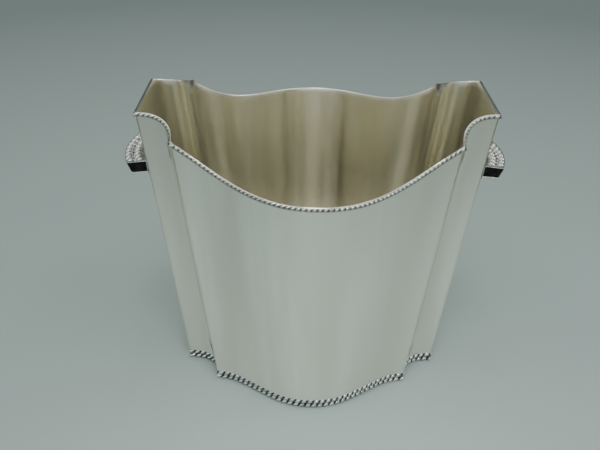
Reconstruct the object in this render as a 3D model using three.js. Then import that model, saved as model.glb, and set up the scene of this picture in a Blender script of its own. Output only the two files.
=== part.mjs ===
// A silver-plated champagne bucket, in millimetres, +Z up, standing on Z = 0.
//
// The body is a tapered tub of eight sheet panels, soldered edge to edge: a bowed front and
// back, two flat sides that carry the handles, and a hollow cove at each corner between them.
// A floor plate closes it. A half-round rope border lies on the outside of the rim, and two round
// ones, one on the other, make the foot, in lengths that are mitred wherever the wall turns
// sharply. Each handle is a bowed lug: a body, two rope bars on top of it, and an end plate at
// each end.
import * as THREE from 'three';

// --- Driving dimensions ---------------------------------------------------------------

const SHEET = 1.5; // thickness of the wall and floor sheet
const GAP = 0.3; // solder gap between neighbouring pieces

// The outer face of the wall, in plan, at Z = 0 and at the top. It is straight in between.
const PLAN_HEIGHT = 230;
const PLAN_AT_FOOT = { frontY: 89.5, cuspX: 76.8, cuspY: 57, sideX: 103.2, sideY: 31 };
const PLAN_AT_TOP = { frontY: 114.1, cuspX: 102.7, cuspY: 62.7, sideX: 129.4, sideY: 35 };
const OGEE_FULLNESS = 1.15; // 1 is a plain cosine; more widens the bow of the front
const COVE_FULLNESS = 2.5; // 2 is an elliptic quarter; more squares the cove

// The wall's top edge waves: lowest at the middle of the front and back, highest at the sides.
// The left side was trimmed a little lower than the right.
const RIM_AT_CENTRE = 194.4;
const RIM_AT_CUSP = 217.3;
const RIM_AT_SIDE = { right: 230, left: 227.4 };
const RIM_WAVE_POWER = 2.2;
const RIM_WAVE_TURN = 0.57; // how much of a half cosine wave the rim has run by the cusp

const RIM_ROPE_RADIUS = 1.5; // half round, with its flat back on the wall
const RIM_ROPE_DROP = 0.2; // its top below the wall's top edge
const FOOT_ROPE_RADIUS = 2;
const FOOT_ROPE_INSET = 1; // centres of the foot ropes, inside the wall's outer face
const FOOT_LOWER_CENTRE = 1.8; // less than the radius: the underside is ground flat
const FOOT_UPPER_CENTRE = FOOT_LOWER_CENTRE + 2 * FOOT_ROPE_RADIUS + GAP;
const WALL_BOTTOM = FOOT_UPPER_CENTRE + FOOT_ROPE_RADIUS + GAP;
const FLOOR_LIFT = 0.8; // the floor's underside above the bottom edge of the wall

const HANDLE_Z = 181.4; // seat of the rope bars on the handle's body
const HANDLE_HALF_LENGTH = 33;
const HANDLE_REACH = 22.5; // furthest that the middle stands out from the wall
const HANDLE_BOW_RADIUS = 62;
const HANDLE_BODY_DROP = 3.4; // from the seat down to the underside
const HANDLE_BODY_INSET = 1.9; // how far the body's bow stays inside the outer bar's
const HANDLE_LEDGE_RISE = 3; // the strip behind the bars, above the seat
const HANDLE_BAR_RADIUS = 3.4;
const END_PLATE = { thickness: 2.5, reach: 15, footReach: 13.2, rise: 7.2, corner: 2 };

const STEPS = { front: 36, cove: 12, side: 4, bar: 14, roundPlateCorner: 6 };
const ROPE_SIDES = 16; // of a full round
const BAR_SIDES = 14;

// --- Materials ------------------------------------------------------------------------

function silver(colour, roughness) {
  return new THREE.MeshStandardMaterial({ color: colour, roughness, metalness: 1 });
}

const satinSilver = silver(0xc6cac1, 0.32);
const floorSilver = silver(0xa79f86, 0.4);
const ropeSilver = silver(0xdadcd6, 0.18);
const handleSilver = silver(0xd2d4cd, 0.2);

// --- The plan outline -----------------------------------------------------------------

function planAt(z) {
  const share = z / PLAN_HEIGHT;
  const plan = {};
  for (const key of Object.keys(PLAN_AT_FOOT)) {
    plan[key] = THREE.MathUtils.lerp(PLAN_AT_FOOT[key], PLAN_AT_TOP[key], share);
  }
  return plan;
}

// The front bows out in the middle and flares hollow towards its two cusps. u runs -1 to 1.
function frontPoint(plan, u) {
  const ogee = (1 + Math.cos(Math.PI * Math.abs(u) ** OGEE_FULLNESS)) / 2;
  const y = THREE.MathUtils.lerp(plan.cuspY, plan.frontY, ogee);
  return new THREE.Vector2(plan.cuspX * u, -y);
}

// The right front cove goes in from the cusp, s = 0, and turns out to the side, s = 1.
function covePoint(plan, s) {
  const angle = (s * Math.PI) / 2;
  const power = 2 / COVE_FULLNESS;
  const out = 1 - Math.max(Math.cos(angle), 0) ** power;
  const back = Math.sin(angle) ** power;
  const x = THREE.MathUtils.lerp(plan.cuspX, plan.sideX, out);
  const y = THREE.MathUtils.lerp(plan.cuspY, plan.sideY, back);
  return new THREE.Vector2(x, -y);
}

function sidePoint(plan, s) {
  return new THREE.Vector2(plan.sideX, plan.sideY * (2 * s - 1));
}

function frontRim(u) {
  const turn = RIM_WAVE_TURN * Math.PI * Math.abs(u) ** RIM_WAVE_POWER;
  const wave = (1 - Math.cos(turn)) / (1 - Math.cos(RIM_WAVE_TURN * Math.PI));
  return THREE.MathUtils.lerp(RIM_AT_CENTRE, RIM_AT_CUSP, wave);
}

function coveRim(s, sideRim) {
  return THREE.MathUtils.lerp(RIM_AT_CUSP, sideRim, Math.sin((s * Math.PI) / 2));
}

// Half of the loop, anticlockwise from the left front cusp. Turning it by 180 degrees about
// Z gives the other half.
const HALF_LOOP = [
  { steps: STEPS.front, at: (plan, s) => frontPoint(plan, 2 * s - 1), rim: (s) => frontRim(2 * s - 1) },
  { steps: STEPS.cove, at: covePoint, rim: coveRim },
  { steps: STEPS.side, at: sidePoint, rim: (s, sideRim) => sideRim },
  {
    steps: STEPS.cove,
    at: (plan, s) => covePoint(plan, 1 - s).multiply(new THREE.Vector2(1, -1)),
    rim: (s, sideRim) => coveRim(1 - s, sideRim),
  },
];
const PANEL_NAMES = [
  'front', 'front_right_cove', 'right_side', 'back_right_cove',
  'back', 'back_left_cove', 'left_side', 'front_left_cove',
];

// Every corner of the outline polygon, and the panel that each stretch of it belongs to.
const stations = [];
const panels = [];
for (const [side, turned] of [['right', 1], ['left', -1]]) {
  for (const span of HALF_LOOP) {
    panels.push({ name: PANEL_NAMES[panels.length], start: stations.length, steps: span.steps });
    for (let i = 0; i < span.steps; i += 1) {
      const s = i / span.steps;
      const at = (z) => span.at(planAt(z), s).multiplyScalar(turned);
      stations.push({ at, rim: span.rim(s, RIM_AT_SIDE[side]) });
    }
  }
}

function station(index) {
  return stations[(index + stations.length) % stations.length];
}

// The direction out of the wall at a station, lengthened so that offset faces meet in a mitre.
function mitre(index, z) {
  const here = station(index).at(z);
  const before = here.clone().sub(station(index - 1).at(z)).normalize();
  const after = station(index + 1).at(z).sub(here).normalize();
  const sum = new THREE.Vector2(before.y + after.y, -before.x - after.x);
  return sum.divideScalar(1 + before.dot(after));
}

// A point on the wall's outer face moved out by offset. endShift slides it along the wall.
function wallPoint(index, z, offset, endShift = 0) {
  const point = station(index).at(z);
  const along = station(index + (endShift < 0 ? -1 : 1)).at(z).sub(point).normalize();
  point.addScaledVector(along, Math.abs(endShift));
  point.addScaledVector(mitre(index, z), offset);
  return new THREE.Vector3(point.x, point.y, z);
}

// --- Lofted solids --------------------------------------------------------------------

// A closed solid through a row of sections with equal numbers of points. outline gives a
// 2-D section, clockwise as seen along the row, and place puts one of its points in space.
function loft(count, outline, place) {
  const size = outline(0).length;
  const positions = [];
  for (let i = 0; i < count; i += 1) {
    for (const point of outline(i)) {
      positions.push(...place(i, point).toArray());
    }
  }
  const faces = [];
  for (let i = 0; i + 1 < count; i += 1) {
    for (let j = 0; j < size; j += 1) {
      const a = i * size + j;
      const b = i * size + ((j + 1) % size);
      faces.push(a, b, b + size, a, b + size, a + size);
    }
  }
  const last = (count - 1) * size;
  for (const [a, b, c] of THREE.ShapeUtils.triangulateShape(outline(0), [])) {
    faces.push(a, b, c);
  }
  for (const [a, b, c] of THREE.ShapeUtils.triangulateShape(outline(count - 1), [])) {
    faces.push(last + a, last + c, last + b);
  }
  const geometry = new THREE.BufferGeometry();
  geometry.setAttribute('position', new THREE.Float32BufferAttribute(positions, 3));
  geometry.setIndex(faces);
  return geometry;
}

// A solid that follows the wall along one panel and keeps half a gap at each end. A point of
// its section is (offset out of the wall, height).
function alongPanel(panel, outline) {
  const endShift = GAP / Math.SQRT2;
  return loft(
    panel.steps + 1,
    (i) => outline(station(panel.start + i)),
    (i, point) => {
      let shift = 0;
      if (i === 0) shift = endShift;
      if (i === panel.steps) shift = -endShift;
      return wallPoint(panel.start + i, point.y, point.x, shift);
    },
  );
}

function wallSection(place) {
  return [
    new THREE.Vector2(-SHEET, WALL_BOTTOM),
    new THREE.Vector2(-SHEET, place.rim),
    new THREE.Vector2(0, place.rim),
    new THREE.Vector2(0, WALL_BOTTOM),
  ];
}

// The ropes are drawn as the plain rods that they fill. This one is round, with its centre at
// (offset, centreZ). Its underside has a narrow flat, and it never reaches below Z = 0.
function footRopeSection(centreZ) {
  const section = [];
  for (let i = 1; i < ROPE_SIDES; i += 1) {
    const angle = -Math.PI / 2 - (i * 2 * Math.PI) / ROPE_SIDES;
    const z = centreZ + FOOT_ROPE_RADIUS * Math.sin(angle);
    const offset = FOOT_ROPE_RADIUS * Math.cos(angle) - FOOT_ROPE_INSET;
    section.push(new THREE.Vector2(offset, Math.max(z, 0)));
  }
  return section;
}

function rimRopeSection(place) {
  const centreZ = place.rim - RIM_ROPE_DROP - RIM_ROPE_RADIUS;
  const section = [];
  for (let i = 0; i <= ROPE_SIDES / 2; i += 1) {
    const angle = Math.PI / 2 - (i * 2 * Math.PI) / ROPE_SIDES;
    const offset = GAP + RIM_ROPE_RADIUS * Math.cos(angle);
    section.push(new THREE.Vector2(offset, centreZ + RIM_ROPE_RADIUS * Math.sin(angle)));
  }
  return section;
}

// --- Floor ----------------------------------------------------------------------------

function floorPlate() {
  const underside = WALL_BOTTOM + FLOOR_LIFT;
  const outline = stations.map((_, i) => wallPoint(i, underside, -SHEET - GAP));
  const shape = new THREE.Shape(outline.map((point) => new THREE.Vector2(point.x, point.y)));
  const plate = new THREE.ExtrudeGeometry(shape, { depth: SHEET, bevelEnabled: false });
  return plate.translate(0, 0, underside);
}

// --- Handles --------------------------------------------------------------------------
// A handle is drawn on the wall it is fixed to: +X is out of the wall, Y runs along it, +Z
// is up the wall, and Z = 0 is the seat of the rope bars.

const barHalfLength = HANDLE_HALF_LENGTH - END_PLATE.thickness - GAP;
const barSpacing = 2 * HANDLE_BAR_RADIUS + GAP;

// How far the handle stands out of the wall at y.
function bowX(y) {
  return HANDLE_REACH - HANDLE_BOW_RADIUS + Math.sqrt(HANDLE_BOW_RADIUS ** 2 - y * y);
}

function barY(i) {
  return THREE.MathUtils.lerp(-barHalfLength, barHalfLength, i / STEPS.bar);
}

function handleBody() {
  const outline = (i) => {
    const bow = bowX(barY(i));
    const edge = bow - HANDLE_BODY_INSET;
    const ledge = bow - 2 * barSpacing;
    return [
      new THREE.Vector2(GAP, -HANDLE_BODY_DROP),
      new THREE.Vector2(GAP, HANDLE_LEDGE_RISE),
      new THREE.Vector2(ledge, HANDLE_LEDGE_RISE),
      new THREE.Vector2(ledge, -GAP),
      new THREE.Vector2(edge, -GAP),
      new THREE.Vector2(edge, -HANDLE_BODY_DROP),
    ];
  };
  return loft(STEPS.bar + 1, outline, (i, point) => new THREE.Vector3(point.x, barY(i), point.y));
}

// A bar whose outer side stands inside the handle's bow by inset.
function ropeBar(inset) {
  const outline = () => {
    const section = [];
    for (let i = 0; i < BAR_SIDES; i += 1) {
      const angle = (-i * 2 * Math.PI) / BAR_SIDES;
      section.push(new THREE.Vector2(Math.cos(angle), Math.sin(angle)).multiplyScalar(HANDLE_BAR_RADIUS));
    }
    return section;
  };
  const place = (i, point) => {
    const x = bowX(barY(i)) - inset - HANDLE_BAR_RADIUS + point.x;
    return new THREE.Vector3(x, barY(i), point.y + HANDLE_BAR_RADIUS);
  };
  return loft(STEPS.bar + 1, outline, place);
}

// The plate lies square to the wall, with its outer lower corner rounded.
function endPlate() {
  const { thickness, reach, footReach, rise, corner } = END_PLATE;
  const shape = new THREE.Shape();
  shape.moveTo(GAP, rise);
  shape.lineTo(GAP, -HANDLE_BODY_DROP);
  shape.lineTo(footReach - corner, -HANDLE_BODY_DROP);
  shape.quadraticCurveTo(footReach, -HANDLE_BODY_DROP, footReach, corner - HANDLE_BODY_DROP);
  shape.lineTo(reach, rise);
  const plate = new THREE.ExtrudeGeometry(shape, {
    depth: thickness,
    bevelEnabled: false,
    curveSegments: STEPS.roundPlateCorner,
  });
  return plate.rotateX(Math.PI / 2).translate(0, thickness / 2, 0);
}

function handle(side) {
  const group = new THREE.Group();
  const plateY = HANDLE_HALF_LENGTH - END_PLATE.thickness / 2;
  group.add(piece(`${side}_handle_body`, handleBody(), handleSilver));
  group.add(piece(`${side}_handle_outer_bar`, ropeBar(0), ropeSilver));
  group.add(piece(`${side}_handle_inner_bar`, ropeBar(barSpacing), ropeSilver));
  const outward = side === 'right' ? 1 : -1;
  for (const [end, direction] of [['front', -1], ['back', 1]]) {
    const plate = piece(`${side}_handle_${end}_plate`, endPlate(), handleSilver);
    plate.position.y = direction * outward * plateY;
    group.add(plate);
  }
  const wallX = planAt(HANDLE_Z).sideX;
  const lean = Math.atan2(PLAN_AT_TOP.sideX - PLAN_AT_FOOT.sideX, PLAN_HEIGHT);
  group.rotation.order = 'ZYX';
  group.rotation.set(0, lean, side === 'right' ? 0 : Math.PI);
  group.position.set(outward * wallX, 0, HANDLE_Z);
  return group;
}

// --- The bucket -----------------------------------------------------------------------

function piece(name, geometry, material) {
  const mesh = new THREE.Mesh(geometry, material);
  mesh.name = name;
  return mesh;
}

const bucket = new THREE.Group();
bucket.name = 'champagne_bucket';
for (const panel of panels) {
  bucket.add(piece(`${panel.name}_wall`, alongPanel(panel, wallSection), satinSilver));
  bucket.add(piece(`${panel.name}_rim_rope`, alongPanel(panel, rimRopeSection), ropeSilver));
  for (const [level, centreZ] of [['upper', FOOT_UPPER_CENTRE], ['lower', FOOT_LOWER_CENTRE]]) {
    const rope = alongPanel(panel, () => footRopeSection(centreZ));
    bucket.add(piece(`${panel.name}_foot_${level}_rope`, rope, ropeSilver));
  }
}
bucket.add(piece('floor_plate', floorPlate(), floorSilver));
bucket.add(handle('left'));
bucket.add(handle('right'));

export default bucket;
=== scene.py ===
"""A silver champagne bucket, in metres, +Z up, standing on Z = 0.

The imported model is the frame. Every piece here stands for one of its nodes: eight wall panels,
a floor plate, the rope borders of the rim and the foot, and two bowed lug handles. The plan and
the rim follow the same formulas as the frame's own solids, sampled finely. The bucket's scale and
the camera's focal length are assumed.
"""
import math

import bmesh
import bpy
from mathutils import Matrix, Vector, noise


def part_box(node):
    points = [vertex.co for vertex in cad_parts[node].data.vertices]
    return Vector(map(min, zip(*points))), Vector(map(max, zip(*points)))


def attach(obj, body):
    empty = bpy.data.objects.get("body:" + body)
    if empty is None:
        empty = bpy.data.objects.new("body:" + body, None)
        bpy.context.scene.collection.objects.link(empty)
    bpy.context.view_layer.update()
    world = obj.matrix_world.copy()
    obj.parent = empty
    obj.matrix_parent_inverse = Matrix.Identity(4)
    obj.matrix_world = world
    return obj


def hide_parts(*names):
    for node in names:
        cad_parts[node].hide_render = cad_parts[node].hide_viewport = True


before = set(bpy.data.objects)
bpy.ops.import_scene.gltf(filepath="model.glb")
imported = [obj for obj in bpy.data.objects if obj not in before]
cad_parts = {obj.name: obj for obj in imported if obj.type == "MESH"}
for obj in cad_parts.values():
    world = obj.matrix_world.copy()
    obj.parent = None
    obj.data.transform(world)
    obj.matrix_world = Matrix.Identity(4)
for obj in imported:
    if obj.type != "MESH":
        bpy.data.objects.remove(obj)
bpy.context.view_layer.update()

# --- Driving dimensions ---------------------------------------------------------------------

SHEET = 0.0015
GAP = 0.0003
PLAN_HEIGHT = 0.230
PLAN_AT_FOOT = {
    "front_y": 0.0895, "cusp_x": 0.0768, "cusp_y": 0.0570, "side_x": 0.1032, "side_y": 0.0310,
}
PLAN_AT_TOP = {
    "front_y": 0.1141, "cusp_x": 0.1027, "cusp_y": 0.0627, "side_x": 0.1294, "side_y": 0.0350,
}
OGEE_FULLNESS = 1.15
COVE_FULLNESS = 2.5

WALL_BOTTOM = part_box("right_side_wall")[0].z
RIM_AT_CENTRE = 0.1944
RIM_AT_CUSP = 0.2173
RIM_AT_SIDE = {"right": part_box("right_side_wall")[1].z, "left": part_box("left_side_wall")[1].z}
RIM_WAVE_POWER = 2.2
RIM_WAVE_TURN = 0.57

EDGE_SOFTNESS = 0.0024  # how far from a corner its rounding begins
SHEET_WAVE = 0.00016  # height of the unevenness that the hammer left in the sheet
SHEET_WAVE_SIZE = 0.034
SHEET_WAVE_STRETCH = 0.6  # the waves are drawn out up the wall by this share
WAVE_FADE = 0.012  # the sheet runs true within this distance of its soldered edges
MITRE_REACH = 5  # a mitre dies out within this many offsets of its corner
TANGENT_STEP = 0.002  # share of a panel to each side, for its direction
OUTLINE_SAMPLES = 600  # points that measure a panel's run
EDGE_SAMPLES = 8  # extra points close to a corner

# Each rope is a coil of wire: starts is the number of wires side by side, and spacing the distance
# from one stroke to the next. lay is 1 for strokes that rise to the right seen from outside.
RIM_ROPE = {
    "radius": 0.0015, "spacing": 0.0036, "starts": 1, "lay": 1, "depth": 0.0008, "flat_back": True,
}
FOOT_ROPE = {
    "radius": 0.0020, "spacing": 0.0048, "starts": 1, "lay": 1, "depth": 0.0013, "flat_back": False,
}
BAR_ROPE = {
    "radius": 0.0034, "spacing": 0.0062, "starts": 1, "lay": -1, "depth": 0.0014, "flat_back": False,
}
SOLDER = 0.0001  # all that stays open between the sheet and a rope that is soldered to it
RIM_ROPE_DROP = 0.0002
FOOT_ROPE_INSET = 0.0010
FOOT_LOWER_CENTRE = 0.0018
FOOT_UPPER_CENTRE = FOOT_LOWER_CENTRE + 2 * FOOT_ROPE["radius"] + GAP

FLOOR_LOW, FLOOR_HIGH = (corner.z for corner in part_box("floor_plate"))

HANDLE_Z = 0.1814
HANDLE_HALF_LENGTH = 0.033
HANDLE_REACH = 0.0225
HANDLE_BOW_RADIUS = 0.062
HANDLE_BODY_DROP = 0.0034
HANDLE_BODY_INSET = 0.0019
HANDLE_LEDGE_RISE = 0.0030
PLATE = {"thickness": 0.0025, "reach": 0.0150, "foot_reach": 0.0132, "rise": 0.0072, "corner": 0.0020}
PLATE_PANEL = {"margin": 0.0004, "lip": 0.0022, "depth": 0.0007}

WORLD_BRIGHTEST = (0, -0.5, 0.866)  # the way to the brightest part of the room
WORLD_DIM = 0.16
WORLD_BRIGHT = 1.05
WORLD_SPREAD = 0.8  # the room is brightest from this cosine to that way on
WORLD_COLOUR = (0.86, 0.93, 0.92, 1)
LIGHT_TARGET = (0, 0, 0.2)
STRIP_PLACES = (-0.75, -0.05, 0.65)
STRIP_Y = -0.35
STRIP_HEIGHT = 1.45
STRIP_SIZE = (0.12, 1.3)
STRIP_POWER = 1.9
STRIP_COLOUR = (1.0, 1.0, 0.97)
BACK_STRIP_AT = (0, 1.05, 0.95)
BACK_STRIP_SIZE = (1.9, 0.10)
BACK_STRIP_POWER = 0.9
BACK_STRIP_COLOUR = (1.0, 1.0, 0.98)
SIDE_CARD_AT = (1.2, 0.05, 0.75)
SIDE_CARD_SIZE = (0.2, 0.2)
SIDE_CARD_POWERS = {-1: 0.3, 1: 1.6}
SIDE_CARD_COLOUR = (0.97, 0.99, 1.0)
POOL_AT = (0.03, -0.52, 1.15)
POOL_TARGET = (0.03, -0.22, 0)
POOL_SIZE = (0.28, 0.28)
POOL_POWER = 0.22
POOL_COLOUR = (0.98, 1.0, 0.99)
POOL_SPREAD = math.radians(31)

CAMERA_AT = Vector((-0.01252, -0.53043, 0.43167))
CAMERA_TILT = 0.5366
CAMERA_PAN = -0.0036
CAMERA_ROLL = 0.0174
CAMERA_LENS = 45

SHARP_ANGLE = math.radians(38)

LINING_BANDS = 3.4  # scale of the wide painted reflection bands inside: one every 92 mm
DARK_REFLECTION_FROM_MIDDLE = (0.066, 0.108)  # the lining's colour turns darker and warmer between these distances from the middle: painted reflection
CUSP_SHADE_PLACE = (0.1000, 0.0550, 0.2190)  # painted shade inside the four cusps, just under the rim
CUSP_SHADE_FADE = (0.004, 0.010)
TABLE_HALF = 3.0
TABLE_FADE = (0.30, 1.20)  # painted shade: the table darkens between these distances from the bucket

# --- The plan of the wall -------------------------------------------------------------------


def lerp(low, high, share):
    return low + (high - low) * share


def plan_at(z):
    share = z / PLAN_HEIGHT
    return {key: lerp(low, PLAN_AT_TOP[key], share) for key, low in PLAN_AT_FOOT.items()}


def front_point(plan, s):
    """The front bows out in the middle and flares hollow towards its two cusps."""
    u = 2 * s - 1
    ogee = (1 + math.cos(math.pi * abs(u) ** OGEE_FULLNESS)) / 2
    return Vector((plan["cusp_x"] * u, -lerp(plan["cusp_y"], plan["front_y"], ogee)))


def cove_point(plan, s):
    """The right front cove goes in from the cusp and turns out to the side."""
    angle = s * math.pi / 2
    power = 2 / COVE_FULLNESS
    out = 1 - max(math.cos(angle), 0) ** power
    back = math.sin(angle) ** power
    x = lerp(plan["cusp_x"], plan["side_x"], out)
    return Vector((x, -lerp(plan["cusp_y"], plan["side_y"], back)))


def mirrored_cove_point(plan, s):
    point = cove_point(plan, 1 - s)
    return Vector((point.x, -point.y))


def side_point(plan, s):
    return Vector((plan["side_x"], plan["side_y"] * (2 * s - 1)))


def front_rim(s, side_rim):
    turn = RIM_WAVE_TURN * math.pi * abs(2 * s - 1) ** RIM_WAVE_POWER
    wave = (1 - math.cos(turn)) / (1 - math.cos(RIM_WAVE_TURN * math.pi))
    return lerp(RIM_AT_CENTRE, RIM_AT_CUSP, wave)


def cove_rim(s, side_rim):
    return lerp(RIM_AT_CUSP, side_rim, math.sin(s * math.pi / 2))


def side_rim_height(s, side_rim):
    return side_rim


class Panel:
    """One length of the wall between two sharp corners, anticlockwise as s runs 0 to 1."""

    def __init__(self, name, outline, rim, side, turned):
        self.name = name
        self.outline = outline
        self.rim_shape = rim
        self.side_rim = RIM_AT_SIDE[side]
        self.turned = turned

    def at(self, s, z):
        return self.outline(plan_at(z), s) * self.turned

    def rim(self, s):
        """The height of the sheet's top edge."""
        return self.rim_shape(s, self.side_rim)

    def tangent(self, s, z):
        before, after = max(s - TANGENT_STEP, 0), min(s + TANGENT_STEP, 1)
        return (self.at(after, z) - self.at(before, z)).normalized()

    def normal(self, s, z):
        along = self.tangent(s, z)
        return Vector((along.y, -along.x))


def make_panels():
    half_loop = [
        (front_point, front_rim),
        (cove_point, cove_rim),
        (side_point, side_rim_height),
        (mirrored_cove_point, lambda s, side_rim: cove_rim(1 - s, side_rim)),
    ]
    names = ["front", "front_right_cove", "right_side", "back_right_cove"]
    names += ["back", "back_left_cove", "left_side", "front_left_cove"]
    halves = (("right", 1), ("left", -1))
    kinds = [(outline, rim, *half) for half in halves for outline, rim in half_loop]
    return [Panel(name, *kind) for name, kind in zip(names, kinds)]


PANELS = make_panels()


class Corner:
    """Where a panel meets its neighbour, at height z: the place, and how faces meet there."""

    def __init__(self, index, end, z):
        here = PANELS[index]
        other = PANELS[(index + (1 if end else -1)) % len(PANELS)]
        self.place = here.at(end, z)
        mine, theirs = here.normal(end, z), other.normal(1 - end, z)
        self.outward = (mine + theirs).normalized()
        cosine = max(-1.0, min(1.0, mine.dot(theirs)))
        self.half_turn = math.tan(math.acos(cosine) / 2)
        self.forward = 1 if end else -1


def wall_point(index, s, z, offset, soften=False):
    """A point on the wall's outer face at share s, moved out by offset and mitred at the corners."""
    panel = PANELS[index]
    base = panel.at(s, z)
    along = panel.tangent(s, z)
    point = base + panel.normal(s, z) * offset
    reach = max(abs(offset) * MITRE_REACH, EDGE_SOFTNESS)
    for end in (0, 1):
        corner = Corner(index, end, z)
        distance = (base - corner.place).length
        if distance < reach:
            slide = offset * corner.half_turn * (1 - distance / reach) ** 2
            point += along * (slide * corner.forward)
        if soften and distance < EDGE_SOFTNESS:
            cut = corner.half_turn * (EDGE_SOFTNESS - distance) ** 2 / (2 * EDGE_SOFTNESS)
            point -= corner.outward * cut
    return point


def even_shares(panel, step, crowded=True):
    """Shares of a panel's run at even distances, with extra ones close to its corners."""
    count = OUTLINE_SAMPLES
    height = PLAN_HEIGHT / 2
    places = [panel.at(i / count, height) for i in range(count + 1)]
    reached = [0.0]
    for before, after in zip(places, places[1:]):
        reached.append(reached[-1] + (after - before).length)
    total = reached[-1]
    inner = 2 * EDGE_SOFTNESS if crowded else 0
    near = [inner * k / EDGE_SAMPLES for k in range(EDGE_SAMPLES)] if crowded else []
    parts = max(2, round((total - 2 * inner) / step))
    wanted = near + [lerp(inner, total - inner, k / parts) for k in range(parts + 1)]
    wanted += [total - distance for distance in reversed(near)]
    shares = []
    i = 0
    for distance in wanted:
        while i < count - 1 and reached[i + 1] < distance:
            i += 1
        part = (distance - reached[i]) / (reached[i + 1] - reached[i])
        shares.append(min(1.0, max(0.0, (i + part) / count)))
    return shares


# --- Mesh building --------------------------------------------------------------------------


def make_object(name, vertices, faces, materials, node):
    """A closed piece that stands for one node of the frame."""
    mesh = bpy.data.meshes.new(name)
    mesh.from_pydata(vertices, [], faces)
    built = bmesh.new()
    built.from_mesh(mesh)
    bmesh.ops.recalc_face_normals(built, faces=built.faces)
    for face in built.faces:
        face.smooth = True
    for edge in built.edges:
        edge.smooth = edge.calc_face_angle(0) < SHARP_ANGLE
    built.to_mesh(mesh)
    built.free()
    for material in materials:
        mesh.materials.append(material)
    piece = bpy.data.objects.new(name, mesh)
    bpy.context.scene.collection.objects.link(piece)
    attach(piece, "root")
    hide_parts(node)
    return piece


def tube_faces(rings, size):
    """The faces between neighbouring rings of size vertices each."""
    faces = []
    for i in range(rings - 1):
        for j in range(size):
            a = i * size + j
            b = i * size + (j + 1) % size
            faces.append((a, b, b + size, a + size))
    return faces


def fan_faces(first, size, middle):
    """The faces that close the ring of size vertices from first on, round the vertex middle."""
    return [(first + j, first + (j + 1) % size, middle) for j in range(size)]


def skin(sections):
    """Vertices and faces of a closed solid through a row of closed sections of equal length."""
    size = len(sections[0])
    vertices = [point for section in sections for point in section]
    faces = tube_faces(len(sections), size)
    for i in (0, len(sections) - 1):
        vertices.append(sum(sections[i], Vector((0, 0, 0))) / size)
        faces += fan_faces(i * size, size, len(vertices) - 1)
    return vertices, faces


# --- Walls ----------------------------------------------------------------------------------

WALL_ROWS = 46
WALL_STEP = 0.0022
TOP_STEPS = 6


def sheet_wave(point, distance_to_edge):
    """How far the sheet stands off its true face, from the planishing."""
    fade = max(0.0, min(1.0, distance_to_edge / WAVE_FADE))
    stretched = Vector((point.x, point.y, point.z * SHEET_WAVE_STRETCH)) / SHEET_WAVE_SIZE
    return SHEET_WAVE * noise.noise(stretched) * fade * fade * (3 - 2 * fade)


def wall_section(rim):
    """The sheet's section, up the outer face, over its rounded top edge and down the inner."""
    radius = SHEET / 2
    top = rim - radius
    bottom = WALL_BOTTOM - GAP + SOLDER
    heights = [lerp(bottom, top, row / WALL_ROWS) for row in range(WALL_ROWS + 1)]
    section = [(0.0, z) for z in heights]
    for k in range(1, TOP_STEPS):
        angle = math.pi * k / TOP_STEPS
        section.append((radius * math.cos(angle) - radius, top + radius * math.sin(angle)))
    return section + [(-SHEET, z) for z in reversed(heights)]


def make_wall(index, outside, inside):
    panel = PANELS[index]
    sections = []
    for s in even_shares(panel, WALL_STEP):
        rim = panel.rim(s)
        section = []
        for offset, z in wall_section(rim):
            flat = wall_point(index, s, z, offset, soften=offset == 0)
            place = panel.at(s, z)
            ends = [(place - panel.at(end, z)).length for end in (0, 1)]
            to_edge = min(*ends, rim - z, z - WALL_BOTTOM)
            flat += panel.normal(s, z) * sheet_wave(Vector((*place, z)), to_edge)
            section.append(Vector((*flat, z)))
        sections.append(section)
    vertices, faces = skin(sections)
    name = f"{panel.name}_wall"
    wall = make_object(f"{name}_sheet", vertices, faces, [outside, inside], name)
    first_inner = WALL_ROWS + TOP_STEPS // 2
    size = len(sections[0])
    for number, face in enumerate(wall.data.polygons):
        on_side = number < (len(sections) - 1) * size
        face.material_index = int(on_side and first_inner <= number % size < size - 1)


# --- Ropes ----------------------------------------------------------------------------------

ROPE_SIDES = 24
BEAD_SAMPLES = 12  # sections along one stroke of a rope
CUT_REACH = 4  # a rope bends to its cut ends within this many radii
FLAT_BACK_FADE = 3  # how fast a half-round rope's grooves run out towards its back


def bead_height(share):
    """The height of a stroke's round back, from 0 in the groove, at share 0 and 1, to 1."""
    across = 2 * share - 1
    return 1 - 0.8 * across**2 - 0.2 * across**6


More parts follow.
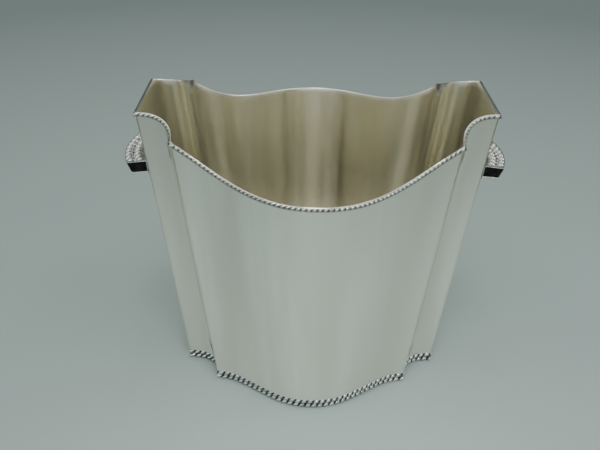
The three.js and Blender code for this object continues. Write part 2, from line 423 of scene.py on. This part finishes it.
def rope_solid(path, outward, rope, planes, run=0.0):
    """A coil of wire round a path. outward points from the wall, and planes hold its cut ends.

    Returns vertices, faces, each vertex's groove depth from 0 to 1, and the run so far.
    """
    reached = [0.0]
    for before, after in zip(path, path[1:]):
        reached.append(reached[-1] + (after - before).length)
    total = reached[-1]
    blend = rope["radius"] * CUT_REACH
    sections = []
    grooves = []
    for i, place in enumerate(path):
        along = (path[min(i + 1, len(path) - 1)] - path[max(i - 1, 0)]).normalized()
        out = (outward[i] - along * along.dot(outward[i])).normalized()
        up = out.cross(along)
        section = []
        for j in range(ROPE_SIDES):
            share = j / ROPE_SIDES
            angle = 2 * math.pi * share
            turn = (run + reached[i]) / rope["spacing"] - rope["lay"] * rope["starts"] * share
            groove = 1 - bead_height(turn % 1)
            outward_share = math.cos(angle)
            if rope["flat_back"]:
                outward_share = max(outward_share, 0)
                groove *= min(1, FLAT_BACK_FADE * outward_share)
            reach = rope["radius"] - rope["depth"] * groove
            arm = (out * outward_share + up * math.sin(angle)) * reach
            for plane, distance in zip(planes, (reached[i], total - reached[i])):
                if distance < blend:
                    slide = -arm.dot(plane) / along.dot(plane)
                    arm = arm + along * (slide * (1 - distance / blend) ** 2)
            point = place + arm
            section.append(Vector((point.x, point.y, max(point.z, 0))))
            grooves.append(groove)
        sections.append(section)
    vertices, faces = skin(sections)
    grooves += [0.5, 0.5]
    return vertices, faces, grooves, run + total


def make_rope(name, node, solid, material):
    vertices, faces, grooves, _ = solid
    piece = make_object(name, vertices, faces, [material], node)
    attribute = piece.data.attributes.new("groove", "FLOAT", "POINT")
    attribute.data.foreach_set("value", grooves)
    return piece


def border_path(index, rope, offset, height):
    """The centre line of a border rope along one panel, and its outward directions."""
    panel = PANELS[index]

    def place(s):
        z = height(panel.rim(s))
        return Vector((*wall_point(index, s, z, offset), z))

    shares = even_shares(panel, rope["spacing"] / BEAD_SAMPLES, crowded=False)
    path = [place(s) for s in shares]
    outward = [Vector((*panel.normal(s, height(panel.rim(s))), 0)) for s in shares]
    return path, outward


def make_border(rope, offset, height, suffix, material, run=0.0):
    paths = [border_path(index, rope, offset, height) for index in range(len(PANELS))]
    for index, panel in enumerate(PANELS):
        path, outward = paths[index]
        before = paths[index - 1][0]
        after = paths[(index + 1) % len(PANELS)][0]
        enter = (path[1] - path[0]).normalized()
        leave = (path[-1] - path[-2]).normalized()
        planes = (
            enter + (before[-1] - before[-2]).normalized(),
            leave + (after[1] - after[0]).normalized(),
        )
        solid = rope_solid(path, outward, rope, planes, run)
        run = solid[3]
        node = f"{panel.name}_{suffix}"
        make_rope(f"{node}_twist", node, solid, material)


# --- Floor ----------------------------------------------------------------------------------

FLOOR_STEP = 0.003
FILLET = 0.0011
FILLET_SHARE = 0.016  # the fillet's width, as a share of the way to the middle
FILLET_STEPS = 4
FLOOR_SAG = 0.0003  # the middle of the plate is a little lower than its edge
FLOOR_RINGS = (0.93, 0.8, 0.6, 0.4, 0.2)


def make_floor(material):
    """A flat plate let in between the walls, with a fillet of solder round its top edge."""
    outline = []
    for index, panel in enumerate(PANELS):
        for s in even_shares(panel, FLOOR_STEP, crowded=False)[:-1]:
            outline.append(wall_point(index, s, FLOOR_LOW, -SHEET - SOLDER))
    rings = [(1.0, FLOOR_LOW), (1.0, FLOOR_HIGH + FILLET)]
    for k in range(1, FILLET_STEPS + 1):
        rise = FILLET * (1 - k / FILLET_STEPS) ** 2
        rings.append((1 - FILLET_SHARE * k / FILLET_STEPS, FLOOR_HIGH + rise))
    rings += [(share, FLOOR_HIGH - FLOOR_SAG * (1 - share**2)) for share in FLOOR_RINGS]
    vertices = [Vector((*(point * share), z)) for share, z in rings for point in outline]
    size = len(outline)
    faces = tube_faces(len(rings), size)
    for ring, z in ((0, FLOOR_LOW), (len(rings) - 1, FLOOR_HIGH - FLOOR_SAG)):
        vertices.append(Vector((0, 0, z)))
        faces += fan_faces(ring * size, size, len(vertices) - 1)
    make_object("floor_sheet", vertices, faces, [material], "floor_plate")


# --- Handles --------------------------------------------------------------------------------
# A handle is drawn on the wall it is fixed to: +X is out of the wall, Y runs along it, +Z is up
# the wall, and Z = 0 is the seat of the rope bars.

BAR_HALF_LENGTH = HANDLE_HALF_LENGTH - PLATE["thickness"] - GAP
BAR_SPACING = 2 * BAR_ROPE["radius"] + GAP
BODY_SECTIONS = 40
PLATE_CORNER_STEPS = 6
BODY_BEVEL = 0.0005
PLATE_BEVEL = 0.00025


def handle_frame(side):
    """Puts a handle on its wall: 1 is the right side, and -1 the left."""
    lean = math.atan2(PLAN_AT_TOP["side_x"] - PLAN_AT_FOOT["side_x"], PLAN_HEIGHT)
    turn = Matrix.Rotation(0 if side > 0 else math.pi, 4, "Z")
    seat = Matrix.Translation((side * plan_at(HANDLE_Z)["side_x"], 0, HANDLE_Z))
    return seat @ turn @ Matrix.Rotation(lean, 4, "Y")


def bow_x(y):
    """How far the handle stands out of the wall at y."""
    return HANDLE_REACH - HANDLE_BOW_RADIUS + math.sqrt(HANDLE_BOW_RADIUS**2 - y**2)


def handle_body_solid():
    sections = []
    for i in range(BODY_SECTIONS + 1):
        y = lerp(-BAR_HALF_LENGTH, BAR_HALF_LENGTH, i / BODY_SECTIONS)
        edge = bow_x(y) - HANDLE_BODY_INSET
        ledge = bow_x(y) - 2 * BAR_SPACING
        corners = [
            (0, -HANDLE_BODY_DROP), (0, HANDLE_LEDGE_RISE), (ledge, HANDLE_LEDGE_RISE),
            (ledge, 0), (edge, 0), (edge, -HANDLE_BODY_DROP),
        ]
        sections.append([Vector((x, y, z)) for x, z in corners])
    return skin(sections)


def bar_solid(inset):
    """A twisted bar whose outer side stands inside the handle's bow by inset."""
    count = round(2 * BAR_HALF_LENGTH / BAR_ROPE["spacing"] * BEAD_SAMPLES)
    path = []
    outward = []
    for i in range(count + 1):
        y = lerp(-BAR_HALF_LENGTH, BAR_HALF_LENGTH, i / count)
        path.append(Vector((bow_x(y) - inset - BAR_ROPE["radius"], y, BAR_ROPE["radius"])))
        outward.append(Vector((math.sqrt(HANDLE_BOW_RADIUS**2 - y**2), y, 0)).normalized())
    planes = (Vector((0, 1, 0)), Vector((0, 1, 0)))
    return rope_solid(path, outward, BAR_ROPE, planes)


def plate_outline(margin, lip):
    """The end plate's outline in X and Z, drawn in from its edge by margin and lip."""
    low = -HANDLE_BODY_DROP + lip
    high = PLATE["rise"] - margin
    near = margin
    foot = PLATE["foot_reach"] - margin
    top = PLATE["reach"] - margin
    corner = PLATE["corner"]
    points = [(near, high), (near, low)]
    for k in range(PLATE_CORNER_STEPS + 1):
        angle = math.pi / 2 * k / PLATE_CORNER_STEPS
        x = foot - corner + corner * math.sin(angle)
        points.append((x, low + corner * (1 - math.cos(angle))))
    return points + [(top, high)]


def plate_solid(end):
    """An end plate with a sunk panel in its outer face. end is the sign of its place on Y."""
    outer = plate_outline(0, 0)
    panel = plate_outline(PLATE_PANEL["margin"], PLATE_PANEL["lip"])
    inside_y = end * (HANDLE_HALF_LENGTH - PLATE["thickness"])
    outside_y = end * HANDLE_HALF_LENGTH
    sunk_y = end * (HANDLE_HALF_LENGTH - PLATE_PANEL["depth"])
    rings = [(outer, inside_y), (outer, outside_y), (panel, outside_y), (panel, sunk_y)]
    vertices = [Vector((x, y, z)) for outline, y in rings for x, z in outline]
    size = len(outer)
    faces = [tuple(range(size)), tuple(range(3 * size, 4 * size))]
    return vertices, faces + tube_faces(len(rings), size)


def round_edges(piece, width):
    bevel = piece.modifiers.new("worn edges", "BEVEL")
    bevel.width = width
    bevel.segments = 3
    bevel.limit_method = "ANGLE"
    bevel.angle_limit = SHARP_ANGLE


def make_handle(name, side, plain, twisted, dark):
    place = handle_frame(side)

    def placed(vertices):
        return [place @ vertex for vertex in vertices]

    vertices, faces = handle_body_solid()
    node = f"{name}_handle_body"
    body = make_object(f"{name}_lug_body", placed(vertices), faces, [plain], node)
    round_edges(body, BODY_BEVEL)
    for bar, inset in (("outer", 0), ("inner", BAR_SPACING)):
        vertices, faces, grooves, run = bar_solid(inset)
        node = f"{name}_handle_{bar}_bar"
        make_rope(f"{name}_lug_{bar}_rope", node, (placed(vertices), faces, grooves, run), twisted)
    for end, sign in (("front", -1), ("back", 1)):
        vertices, faces = plate_solid(sign * side)
        node = f"{name}_handle_{end}_plate"
        plate = make_object(
            f"{name}_lug_{end}_cheek", placed(vertices), faces, [plain, dark], node
        )
        plate.data.polygons[1].material_index = 1
        round_edges(plate, PLATE_BEVEL)


# --- Materials ------------------------------------------------------------------------------


class Finish:
    """A procedural metal, built up node by node on a Principled shader."""

    def __init__(self, name, roughness):
        self.material = bpy.data.materials.new(name)
        self.material.use_nodes = True
        self.tree = self.material.node_tree
        self.shader = self.tree.nodes["Principled BSDF"]
        self.shader.inputs["Metallic"].default_value = 1.0
        self.shader.inputs["Roughness"].default_value = roughness
        self.coordinates = self.add("ShaderNodeTexCoord").outputs["Object"]
        self.last_bump = None

    def add(self, kind, inputs=None, **settings):
        node = self.tree.nodes.new(kind)
        for key, value in settings.items():
            setattr(node, key, value)
        for key, value in (inputs or {}).items():
            if isinstance(value, bpy.types.NodeSocket):
                self.tree.links.new(value, node.inputs[key])
            else:
                node.inputs[key].default_value = value
        return node

    def pattern(self, scale, detail=3.0, stretch=(1, 1, 1), warp=0.0):
        """Noise from 0 to 1, finer along an axis with a larger stretch."""
        mapping = self.add("ShaderNodeMapping", {"Vector": self.coordinates, "Scale": stretch})
        inputs = {"Vector": mapping.outputs["Vector"], "Scale": scale}
        inputs |= {"Detail": detail, "Distortion": warp}
        return self.add("ShaderNodeTexNoise", inputs).outputs["Fac"]

    def ranged(self, value, low, high, from_low=0.3, from_high=0.7):
        inputs = {"Value": value, "From Min": from_low, "From Max": from_high}
        inputs |= {"To Min": low, "To Max": high}
        return self.add("ShaderNodeMapRange", inputs).outputs["Result"]

    def mixed(self, share, first, second):
        """Two colours, or a colour and a socket, mixed by share."""
        node = self.add("ShaderNodeMix", {"Factor": share}, data_type="RGBA")
        for socket, value in ((node.inputs[6], first), (node.inputs[7], second)):
            if isinstance(value, bpy.types.NodeSocket):
                self.tree.links.new(value, socket)
            else:
                socket.default_value = (*value, 1)
        return node.outputs[2]

    def colour(self, value):
        self.tree.links.new(value, self.shader.inputs["Base Color"])

    def roughness(self, value):
        self.tree.links.new(value, self.shader.inputs["Roughness"])

    def bump(self, height, depth, strength=1.0):
        """Relief of the given depth in metres, on top of any relief before it."""
        inputs = {"Height": height, "Distance": depth, "Strength": strength}
        if self.last_bump is not None:
            inputs["Normal"] = self.last_bump
        self.last_bump = self.add("ShaderNodeBump", inputs).outputs["Normal"]
        self.tree.links.new(self.last_bump, self.shader.inputs["Normal"])


def satin_silver():
    """The outside of the tub: soft polished silver, with faint upright streaks and broad sweeps in its
    colour that are painted reflection bands.
    """
    finish = Finish("satin_silver", 0.2)
    # Painted reflection: the upright streaks and broad sweeps in this colour are painted reflection
    # bands.
    streak = finish.pattern(40, detail=4, stretch=(1, 1, 0.05))
    sweep = finish.pattern(17, detail=2, stretch=(1, 1, 0.12))
    swept = finish.ranged(sweep, 0, 1, 0.40, 0.60)
    tone = finish.mixed(swept, (0.99, 0.98, 0.90), (0.88, 0.865, 0.775))
    streaked = finish.ranged(streak, 0, 0.7, 0.38, 0.62)
    finish.colour(finish.mixed(streaked, tone, (0.82, 0.80, 0.71)))
    finish.roughness(finish.ranged(finish.pattern(26, detail=6), 0.13, 0.22))
    finish.bump(finish.pattern(20, detail=1, stretch=(1, 1, 0.12)), 0.0016, 0.8)
    finish.bump(finish.pattern(70, detail=2, stretch=(0.3, 0.3, 8)), 0.00004, 0.5)
    return finish.material


def lining_silver():
    """The inside of the tub: warmer and duller, with fine brushing. Its upright bands and darker sides
    are painted reflections, and its cusps carry painted shade.
    """
    finish = Finish("lining_silver", 0.25)
    # Painted reflection bands: wide wave bands across X, and narrow upright bands from stretched
    # noise.
    sweep_inputs = {"Vector": finish.coordinates, "Scale": LINING_BANDS}
    sweep_inputs |= {"Distortion": 0.6, "Detail": 1.0}
    sweep = finish.add("ShaderNodeTexWave", sweep_inputs, bands_direction="X").outputs["Fac"]
    swept = finish.ranged(sweep, 0, 1, 0, 1)
    wide = finish.mixed(swept, (0.974, 0.962, 0.866), (0.998, 0.993, 0.94))
    band = finish.pattern(34, detail=3, stretch=(1, 1, 0.04))
    tone = finish.mixed(finish.ranged(band, 0, 0.9, 0.42, 0.58), wide, (0.925, 0.90, 0.785))
    # Painted reflection: the colour turns darker and warmer towards the coves.
    across = finish.add("ShaderNodeSeparateXYZ", {"Vector": finish.coordinates}).outputs["X"]
    from_middle = finish.add("ShaderNodeMath", {0: across}, operation="ABSOLUTE").outputs[0]
    dark_reflection = finish.ranged(from_middle, 0, 0.8, *DARK_REFLECTION_FROM_MIDDLE)
    tone = finish.mixed(dark_reflection, tone, (0.77, 0.74, 0.59))
    # Painted shade: a near-black, less metallic patch inside each cusp just under the rim, where the
    # polished wall would otherwise mirror the pale table.
    folded = finish.add("ShaderNodeVectorMath", {0: finish.coordinates}, operation="ABSOLUTE")
    cusp_inputs = {0: folded.outputs["Vector"], 1: CUSP_SHADE_PLACE}
    from_cusp = finish.add("ShaderNodeVectorMath", cusp_inputs, operation="DISTANCE")
    cusp_shade = finish.ranged(from_cusp.outputs["Value"], 1, 0, *CUSP_SHADE_FADE)
    finish.colour(finish.mixed(cusp_shade, tone, (0.13, 0.12, 0.08)))
    metallic_outside_shade = finish.ranged(cusp_shade, 1, 0.2, 0, 1)
    finish.tree.links.new(metallic_outside_shade, finish.shader.inputs["Metallic"])
    finish.roughness(finish.ranged(finish.pattern(60, detail=5, stretch=(1, 1, 0.15)), 0.17, 0.27))
    finish.bump(finish.pattern(24, detail=1, stretch=(1, 1, 0.08)), 0.0004, 0.7)
    finish.bump(finish.pattern(80, detail=2, stretch=(0.4, 0.4, 10)), 0.00004, 0.5)
    return finish.material


def floor_silver():
    """The plate at the bottom: scratched by ice, with the tarnish that wet silver takes."""
    finish = Finish("floor_silver", 0.32)
    cloud = finish.pattern(18, detail=6, warp=0.5)
    tone = finish.mixed(finish.ranged(cloud, 0, 1), (0.95, 0.93, 0.86), (0.84, 0.80, 0.70))
    finish.colour(tone)
    finish.roughness(finish.ranged(finish.pattern(45, detail=6), 0.24, 0.42))
    finish.bump(finish.pattern(20, detail=2), 0.0003, 0.5)
    finish.bump(finish.pattern(30, detail=4, stretch=(14, 0.7, 1), warp=0.8), 0.00005, 0.7)
    finish.bump(finish.pattern(34, detail=4, stretch=(0.9, 12, 1), warp=0.8), 0.00005, 0.5)
    return finish.material


def rope_silver(name, bright, worn, groove_shade_colour):
    """Bright wire, with painted shade darkening its grooves."""
    finish = Finish(name, 0.12)
    groove = finish.add("ShaderNodeAttribute", attribute_name="groove").outputs["Fac"]
    wear = finish.pattern(160, detail=4)
    tone = finish.mixed(finish.ranged(wear, 0, 1), bright, worn)
    # Painted shade: the grooves take the darker groove colour.
    depth = finish.ranged(groove, 0, 1, 0.15, 0.7)
    finish.colour(finish.mixed(depth, tone, groove_shade_colour))
    finish.roughness(finish.ranged(wear, 0.09, 0.2))
    finish.bump(finish.pattern(420, detail=3), 0.00008, 0.4)
    return finish.material


def handle_silver():
    finish = Finish("handle_silver", 0.16)
    wear = finish.pattern(90, detail=5)
    tone = finish.mixed(finish.ranged(wear, 0, 1), (0.88, 0.88, 0.85), (0.76, 0.76, 0.71))
    finish.colour(tone)
    finish.roughness(finish.ranged(finish.pattern(140, detail=4), 0.12, 0.24))
    finish.bump(finish.pattern(260, detail=4), 0.00008, 0.5)
    return finish.material


def black_panel_silver():
    """Near-black colour in the sunk panels of the end plates."""
    finish = Finish("black_panel_silver", 0.45)
    grain = finish.pattern(300, detail=5)
    tone = finish.mixed(finish.ranged(grain, 0, 1), (0.012, 0.012, 0.014), (0.035, 0.034, 0.032))
    finish.colour(tone)
    finish.roughness(finish.ranged(grain, 0.35, 0.6))
    finish.bump(grain, 0.0001, 0.6)
    return finish.material


def table_finish():
    """A pale surface to stand on, darkened away from the bucket by painted shade."""
    finish = Finish("pale_table", 0.5)
    finish.shader.inputs["Metallic"].default_value = 0.0
    cloud = finish.pattern(1.5, detail=2)
    tone = finish.mixed(finish.ranged(cloud, 0, 1), (0.37, 0.444, 0.422), (0.352, 0.426, 0.405))
    # Painted shade: the table's colour darkens with distance from the bucket.
    place = finish.add("ShaderNodeVectorMath", {0: finish.coordinates}, operation="LENGTH")
    distance = place.outputs["Value"]
    far = finish.ranged(distance, 0, 1, *TABLE_FADE)
    finish.colour(finish.mixed(far, tone, (0.205, 0.248, 0.239)))
    return finish.material


# --- Stage, lights and camera ---------------------------------------------------------------


def make_stage():
    signs = ((-1, -1), (1, -1), (1, 1), (-1, 1))
    corners = [Vector((x * TABLE_HALF, y * TABLE_HALF, 0)) for x, y in signs]
    mesh = bpy.data.meshes.new("table")
    mesh.from_pydata(corners, [], [(0, 1, 2, 3)])
    mesh.materials.append(table_finish())
    table = bpy.data.objects.new("table", mesh)
    bpy.context.scene.collection.objects.link(table)


def make_light(name, place, target, size, power, colour):
    light = bpy.data.lights.new(name, "AREA")
    light.shape = "RECTANGLE"
    light.size, light.size_y = size
    light.energy = power
    light.color = colour
    holder = bpy.data.objects.new(name, light)
    holder.location = place
    holder.rotation_euler = (Vector(target) - Vector(place)).to_track_quat("-Z", "Y").to_euler()
    bpy.context.scene.collection.objects.link(holder)
    return light


def make_world():
    """A room that is bright overhead and behind the viewer, and dim along the far wall."""
    world = bpy.data.worlds.new("soft_room")
    world.use_nodes = True
    tree = world.node_tree
    coordinates = tree.nodes.new("ShaderNodeTexCoord")
    towards = tree.nodes.new("ShaderNodeVectorMath")
    towards.operation = "DOT_PRODUCT"
    towards.inputs[1].default_value = WORLD_BRIGHTEST
    shade = tree.nodes.new("ShaderNodeMapRange")
    shade.inputs["From Min"].default_value = 0.0
    shade.inputs["From Max"].default_value = WORLD_SPREAD
    shade.inputs["To Min"].default_value = WORLD_DIM
    shade.inputs["To Max"].default_value = WORLD_BRIGHT
    background = tree.nodes["Background"]
    background.inputs["Color"].default_value = WORLD_COLOUR
    tree.links.new(coordinates.outputs["Generated"], towards.inputs[0])
    tree.links.new(towards.outputs["Value"], shade.inputs["Value"])
    tree.links.new(shade.outputs["Result"], background.inputs["Strength"])
    bpy.context.scene.world = world


def make_lights():
    """Ceiling strips, one behind, a card to each side, and a pool of light in front of the bucket."""
    for x in STRIP_PLACES:
        place, below = (x, STRIP_Y, STRIP_HEIGHT), (x, STRIP_Y, 0)
        make_light("strip", place, below, STRIP_SIZE, STRIP_POWER, STRIP_COLOUR)
    make_light(
        "back_strip", BACK_STRIP_AT, LIGHT_TARGET, BACK_STRIP_SIZE, BACK_STRIP_POWER, BACK_STRIP_COLOUR
    )
    x, y, z = SIDE_CARD_AT
    for side, power in SIDE_CARD_POWERS.items():
        place = (side * x, y, z)
        make_light("side_card", place, LIGHT_TARGET, SIDE_CARD_SIZE, power, SIDE_CARD_COLOUR)
    pool = make_light("pool", POOL_AT, POOL_TARGET, POOL_SIZE, POOL_POWER, POOL_COLOUR)
    pool.spread = POOL_SPREAD


def make_camera():
    data = bpy.data.cameras.new("camera")
    data.lens = CAMERA_LENS
    data.sensor_width = 36
    data.dof.use_dof = False
    camera = bpy.data.objects.new("camera", data)
    pan = Matrix.Rotation(CAMERA_PAN, 4, "Z")
    tilt = Matrix.Rotation(math.pi / 2 - CAMERA_TILT, 4, "X")
    roll = Matrix.Rotation(CAMERA_ROLL, 4, "Z")
    camera.matrix_world = Matrix.Translation(CAMERA_AT) @ pan @ tilt @ roll
    bpy.context.scene.collection.objects.link(camera)
    bpy.context.scene.camera = camera


# --- The bucket -----------------------------------------------------------------------------

# Each kind of wire: its colour where it is bright, where it is worn, and in the grooves, where it is
# painted shade.
# The three wires are one silver: the rim and foot wires are painted darker than the bar wire, as
# painted shade.
RIM_TONES = ((0.57, 0.57, 0.53), (0.39, 0.39, 0.34), (0.12, 0.12, 0.10))
FOOT_TONES = ((0.76, 0.77, 0.76), (0.46, 0.47, 0.46), (0.02, 0.022, 0.024))
BAR_TONES = ((0.99, 0.99, 0.97), (0.93, 0.93, 0.89), (0.36, 0.36, 0.33))

make_camera()
make_world()
make_lights()
make_stage()

outside, inside = satin_silver(), lining_silver()
rim_wire = rope_silver("rim_rope_silver", *RIM_TONES)
foot_wire = rope_silver("foot_rope_silver", *FOOT_TONES)
bar_wire = rope_silver("bar_rope_silver", *BAR_TONES)
for index in range(len(PANELS)):
    make_wall(index, outside, inside)
rim_drop = RIM_ROPE_DROP + RIM_ROPE["radius"]
make_border(RIM_ROPE, SOLDER, lambda rim: rim - rim_drop, "rim_rope", rim_wire)
half_stroke = FOOT_ROPE["spacing"] / 2  # the two foot ropes' strokes stand half a stroke apart
for suffix, centre, run in (
    ("foot_upper_rope", FOOT_UPPER_CENTRE, 0.0),
    ("foot_lower_rope", FOOT_LOWER_CENTRE, half_stroke),
):
    make_border(FOOT_ROPE, -FOOT_ROPE_INSET, lambda rim: centre, suffix, foot_wire, run)
make_floor(floor_silver())
plain, dark = handle_silver(), black_panel_silver()
make_handle("left", -1, plain, bar_wire, dark)
make_handle("right", 1, plain, bar_wire, dark)

bpy.context.view_layer.update()
